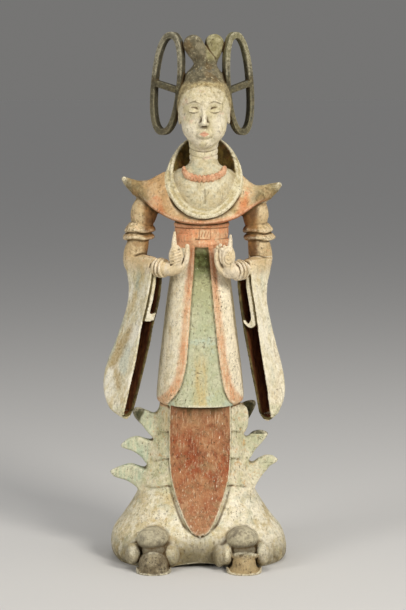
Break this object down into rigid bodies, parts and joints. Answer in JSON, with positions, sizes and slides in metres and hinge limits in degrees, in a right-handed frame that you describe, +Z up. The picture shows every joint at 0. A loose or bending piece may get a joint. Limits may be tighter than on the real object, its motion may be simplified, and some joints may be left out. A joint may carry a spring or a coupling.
{
  "type": "tomb attendant figure",
  "caption": "Standing court attendant in painted pottery, with high hair loops, winged shoulders, raised hands and long hanging sleeves.",
  "frame": {"origin": "on the flat underside, below the middle of the skirt", "axes": "+Z up, the figure faces -Y, +X is to the right of someone who looks at its face"},
  "size_m": [0.1766, 0.131, 0.5002],
  "materials": {
    "painted_pottery": "matt fired earthenware with worn cold-painted slip and earth stains"
  },
  "bodies": {
    "root": {"attendant_figure": "painted_pottery"}
  },
  "joints": []
}
